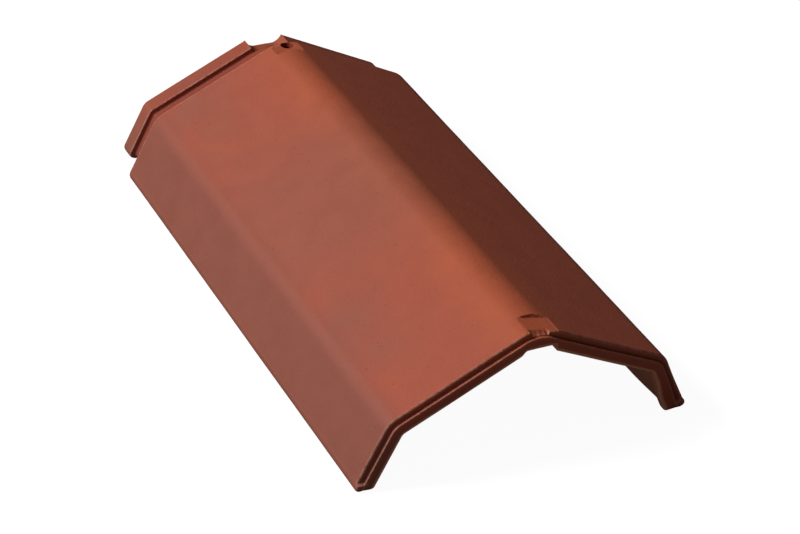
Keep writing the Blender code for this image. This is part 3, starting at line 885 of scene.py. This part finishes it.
def clay_material(finish):
    """Fired clay with a thin matt engobe, bare inside, bloomed, rubbed on its arrises, with painted
    shade in its hollows, on the end faces and on the left skirt, and painted sheen and highlights.
    """
    material = bpy.data.materials.new("fired_clay_engobed")
    material.use_nodes = True
    tree = material.node_tree
    shader = tree.nodes["Principled BSDF"]
    place = add_node(tree, "ShaderNodeTexCoord").outputs["Object"]
    grain = add_node(tree, "ShaderNodeGroup", {"Vector": place}, node_tree=grain_group())
    bloom_and_sheen = add_node(tree, "ShaderNodeGroup", {"Vector": place}, node_tree=bloom_group())

    axes = add_node(tree, "ShaderNodeSeparateXYZ", {0: place})
    off_ridge = sums(tree, "ABSOLUTE", axes.outputs["X"])
    toned = sums(tree, "MULTIPLY", bloom_and_sheen.outputs["Tone"], 0.030)
    near_ridge = ranged(tree, sums(tree, "ADD", off_ridge, toned), *NEAR_RIDGE)
    colours = {key: (*getattr(finish, key), 1.0) for key in (
        "engobe", "warm", "bloom_and_sheen", "maroon_and_shade", "rubbed_and_highlight", "bare", "fleck")}
    shade = mixed(tree, near_ridge, colours["engobe"], colours["warm"])
    # Grey clouds on the lit left side: kiln bloom and painted sheen
    away = ranged(tree, axes.outputs["X"], *BLOOM_AND_SHEEN_SIDE)
    cloud = sums(tree, "MULTIPLY", bloom_and_sheen.outputs["Cloud"], away)
    mottled = ranged(tree, bloom_and_sheen.outputs["Mottle"], 0.0, 1.0, 0.70, 1.0)
    cloud = sums(tree, "MULTIPLY", cloud, mottled)
    # Painted shade: greyer colour low on the left skirt
    left_skirt_shade = ranged(tree, axes.outputs["X"], *LEFT_SKIRT_SHADE)
    middle = ranged(tree, sums(tree, "ABSOLUTE", axes.outputs["Y"]), *MIDDLE)
    left_of_ridge = ranged(tree, axes.outputs["X"], *LEFT_OF_RIDGE)
    cloud = sums(tree, "MAXIMUM", cloud, sums(tree, "MULTIPLY", middle, left_of_ridge))
    shade = mixed(tree, sums(tree, "MAXIMUM", cloud, left_skirt_shade), shade, colours["bloom_and_sheen"])
    lighter = ranged(tree, bloom_and_sheen.outputs["Mottle"], 0.0, 1.0, 0.97, 1.03)
    # Painted shade: the left skirt and knee darker
    left_skirt_darkening = ranged(tree, axes.outputs["X"], *LEFT_SKIRT_DARKENING)
    on_rim = ranged(tree, axes.outputs["Y"], *ON_RIM)
    lighter = sums(tree, "MULTIPLY", lighter, sums(tree, "MINIMUM", left_skirt_darkening, on_rim))
    sockets = {0: shade, "Scale": lighter}
    shade = add_node(tree, "ShaderNodeVectorMath", sockets, operation="SCALE").outputs[0]
    # Maroon engobe and painted shade in groove, notches and nail hole and on the end faces
    dark_engobe_and_shade = sums(tree, "MULTIPLY", attribute(tree, "dark_engobe_and_shade"), finish.dark_engobe_and_shade_share)
    shade = mixed(tree, dark_engobe_and_shade, shade, colours["maroon_and_shade"])
    spray = sums(tree, "ADD", attribute(tree, "bare"),
                 sums(tree, "MULTIPLY", bloom_and_sheen.outputs["Mottle"], 0.25))
    shade = mixed(tree, ranged(tree, spray, 0.45, 0.85), shade, colours["bare"])
    broken = ranged(tree, noise(tree, place, 260.0, 3.0, 0.6), 0.34, 0.60, 0.15, 1.0)
    # Rubbed arrises and painted highlights on the ledges
    worn_and_highlight = sums(tree, "MULTIPLY", attribute(tree, "rubbed_and_highlight"), broken)
    worn_and_highlight = sums(tree, "MULTIPLY", worn_and_highlight, finish.rubbed_and_highlight_share)
    shade = mixed(tree, worn_and_highlight, shade, colours["rubbed_and_highlight"])
    specks = sums(tree, "MULTIPLY", grain.outputs["Specks"], finish.fleck_share)
    shade = mixed(tree, specks, shade, colours["fleck"])
    tree.links.new(shade, shader.inputs["Base Color"])
    shader.inputs["Specular IOR Level"].default_value = 0.28

    rough = finish.roughness
    matt = ranged(tree, bloom_and_sheen.outputs["Mottle"], 0.0, 1.0, rough - 0.06, rough + 0.08)
    matt = sums(tree, "ADD", matt, sums(tree, "MULTIPLY", attribute(tree, "bare"), 0.18))
    tree.links.new(matt, shader.inputs["Roughness"])
    bump = add_node(tree, "ShaderNodeBump", {"Strength": 0.55, "Distance": finish.grain})
    tree.links.new(grain.outputs["Height"], bump.inputs["Height"])
    tree.links.new(bump.outputs["Normal"], shader.inputs["Normal"])
    return material


class RIDGETILE_OT_form_tile(Operator):
    """Form the ridge tile in one piece, cut its nail hole and give it its fired finish with painted
    shade and highlights
    """

    bl_idname = "ridgetile.form_tile"
    bl_label = "Form the tile"

    def execute(self, context):
        scene = context.scene
        section, lengths, seats = scene.tile_section, scene.tile_lengths, scene.tile_seats
        points, faces, marks = tile_surface(section, lengths, seats)
        mesh = new_mesh("ridge_tile_clay", points, faces.tolist())
        for name, values in marks.items():
            layer = mesh.attributes.new(name, "FLOAT", "POINT")
            layer.data.foreach_set("value", values.astype(np.float32))
        shell = bmesh.new()
        shell.from_mesh(mesh)
        bmesh.ops.remove_doubles(shell, verts=shell.verts, dist=1e-6)
        bmesh.ops.recalc_face_normals(shell, faces=shell.faces)
        shell.to_mesh(mesh)
        shell.free()
        tile = put_in_scene("ridge_tile_clay", mesh)
        mesh.materials.append(clay_material(scene.tile_finish))
        cut_and_settle(tile, hole_cutter(Skins(section), lengths, seats))
        paint_hole_shade(tile.data, lengths, seats)
        tile.data.shade_smooth()
        tile.data.set_sharp_from_angle(angle=SHARP_ANGLE)
        open_edges = bmesh.new()
        open_edges.from_mesh(tile.data)
        broken = sum(1 for edge in open_edges.edges if not edge.is_manifold)
        open_edges.free()
        if broken:
            raise RuntimeError(f"the tile's skin is open at {broken} edges")
        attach(tile, "root")
        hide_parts("ridge_tile")
        return {"FINISHED"}


def stage_floor(stage):
    """A wide pale floor under the feet, x and y from -s/2 to s/2. It shows pale to the camera and
    gives little light back, as a matt black table under the tile would in a light tent."""
    half = 0.5 * stage.floor_size
    corners = np.array([(-half, -half), (half, -half), (half, half), (-half, half)])
    points = np.hstack([corners, np.full((4, 1), -0.0002)])
    mesh = new_mesh("studio_floor", points, [(0, 1, 2, 3)])
    floor = put_in_scene("studio_floor", mesh)
    material = bpy.data.materials.new("pale_floor")
    material.use_nodes = True
    tree = material.node_tree
    pale = tree.nodes["Principled BSDF"]
    pale.inputs["Roughness"].default_value = 0.9
    pale.inputs["Specular IOR Level"].default_value = 0.0
    pale.inputs["Base Color"].default_value = (*stage.floor, 1.0)
    glow = add_node(tree, "ShaderNodeEmission", {"Color": (*stage.floor, 1.0), "Strength": 1.32})
    seen = add_node(tree, "ShaderNodeMixShader", {0: 0.84, 1: pale.outputs[0], 2: glow.outputs[0]})
    dark = add_node(tree, "ShaderNodeBsdfDiffuse", {"Color": (0.20, 0.19, 0.18, 1.0)})
    path = add_node(tree, "ShaderNodeLightPath")
    both = add_node(
        tree,
        "ShaderNodeMixShader",
        {0: path.outputs["Is Camera Ray"], 1: dark.outputs[0], 2: seen.outputs[0]},
    )
    tree.links.new(both.outputs[0], tree.nodes["Material Output"].inputs["Surface"])
    mesh.materials.append(material)


def hang_lamp(name, power, size, towards, reach):
    """A square lamp that faces the origin: its own axes, and the reach along the direction."""
    away = np.array(towards) / np.linalg.norm(towards)
    side = np.cross([0.0, 0.0, 1.0], away)
    side = side / np.linalg.norm(side)
    turned = np.eye(4)
    turned[:3, 0], turned[:3, 1], turned[:3, 2] = side, np.cross(away, side), away
    turned[:3, 3] = reach * away
    lamp = bpy.data.lights.new(name, "AREA")
    lamp.energy, lamp.shape, lamp.size = power, "SQUARE", size
    put_in_scene(name, lamp).matrix_world = Matrix(turned.tolist())


def stage_lights(stage):
    """One broad light high on the left, a faint one low in front, and a little from all round."""
    hang_lamp("key_light", stage.key_power, stage.key_size, (-0.70, 0.22, 0.64), 2.6)
    hang_lamp("low_light", stage.low_power, 0.8, (-0.74, -0.62, 0.24), 2.2)
    world = bpy.data.worlds.new("studio_air")
    world.use_nodes = True
    background = world.node_tree.nodes["Background"]
    background.inputs["Color"].default_value = (1.0, 0.90, 0.75, 1.0)
    background.inputs["Strength"].default_value = stage.fill
    bpy.context.scene.world = world


def stage_camera(stage):
    """The camera at the photograph's angle: back from the aim along the azimuth and elevation,
    turned by the roll, and slid in its own plane."""
    azimuth, elevation, roll = stage.azimuth, stage.elevation, stage.roll
    back = np.array([
        math.sin(azimuth) * math.cos(elevation),
        -math.cos(azimuth) * math.cos(elevation),
        math.sin(elevation),
    ])
    right = np.cross(-back, [0.0, 0.0, 1.0])
    right = right / np.linalg.norm(right)
    up = np.cross(right, -back)
    cos, sin = math.cos(roll), math.sin(roll)
    right, up = cos * right + sin * up, cos * up - sin * right
    turned = np.eye(4)
    turned[:3, 0], turned[:3, 1], turned[:3, 2] = right, up, back
    turned[:3, 3] = np.array(stage.aim) + stage.distance * back
    turned[:3, 3] += stage.slide_right * right + stage.slide_up * up
    lens = bpy.data.cameras.new("photo_camera")
    lens.sensor_fit = "HORIZONTAL"
    lens.sensor_width = 36.0
    lens.lens = stage.lens
    lens.clip_start, lens.clip_end = 0.05, 30.0
    camera = put_in_scene("photo_camera", lens)
    camera.matrix_world = Matrix(turned.tolist())
    bpy.context.scene.camera = camera


class RIDGETILE_OT_set_stage(Operator):
    """Set the pale floor, the soft light and the camera"""

    bl_idname = "ridgetile.set_stage"
    bl_label = "Set the stage"

    def execute(self, context):
        stage = context.scene.tile_stage
        stage_floor(stage)
        stage_lights(stage)
        stage_camera(stage)
        context.scene.view_settings.view_transform = "Standard"
        return {"FINISHED"}


class RIDGETILE_PT_sidebar(Panel):
    """The tile's operators with their sizes and colours"""

    bl_idname = "RIDGETILE_PT_sidebar"
    bl_label = "Ridge tile"
    bl_space_type = "VIEW_3D"
    bl_region_type = "UI"
    bl_category = "Ridge tile"

    def draw(self, context):
        layout = self.layout
        layout.operator(RIDGETILE_OT_form_tile.bl_idname)
        for holder in ("tile_section", "tile_lengths", "tile_seats", "tile_finish"):
            self.list_settings(layout.box(), getattr(context.scene, holder))
        layout.operator(RIDGETILE_OT_set_stage.bl_idname)
        self.list_settings(layout.box(), context.scene.tile_stage)

    def list_settings(self, box, group):
        for name in type(group).__annotations__:
            box.prop(group, name)


CLASSES = (
    TileSectionSizes,
    TileLengthSizes,
    TileSeatSizes,
    ClayFinish,
    StageSettings,
    RIDGETILE_OT_form_tile,
    RIDGETILE_OT_set_stage,
    RIDGETILE_PT_sidebar,
)
HOLDERS = {
    "tile_section": TileSectionSizes,
    "tile_lengths": TileLengthSizes,
    "tile_seats": TileSeatSizes,
    "tile_finish": ClayFinish,
    "tile_stage": StageSettings,
}


def register():
    for each in CLASSES:
        bpy.utils.register_class(each)
    for name, group in HOLDERS.items():
        setattr(bpy.types.Scene, name, PointerProperty(type=group))


def unregister():
    for name in HOLDERS:
        delattr(bpy.types.Scene, name)
    for each in reversed(CLASSES):
        bpy.utils.unregister_class(each)


def main():
    register()
    bpy.ops.ridgetile.form_tile()
    bpy.ops.ridgetile.set_stage()


if __name__ == "__main__":
    main()
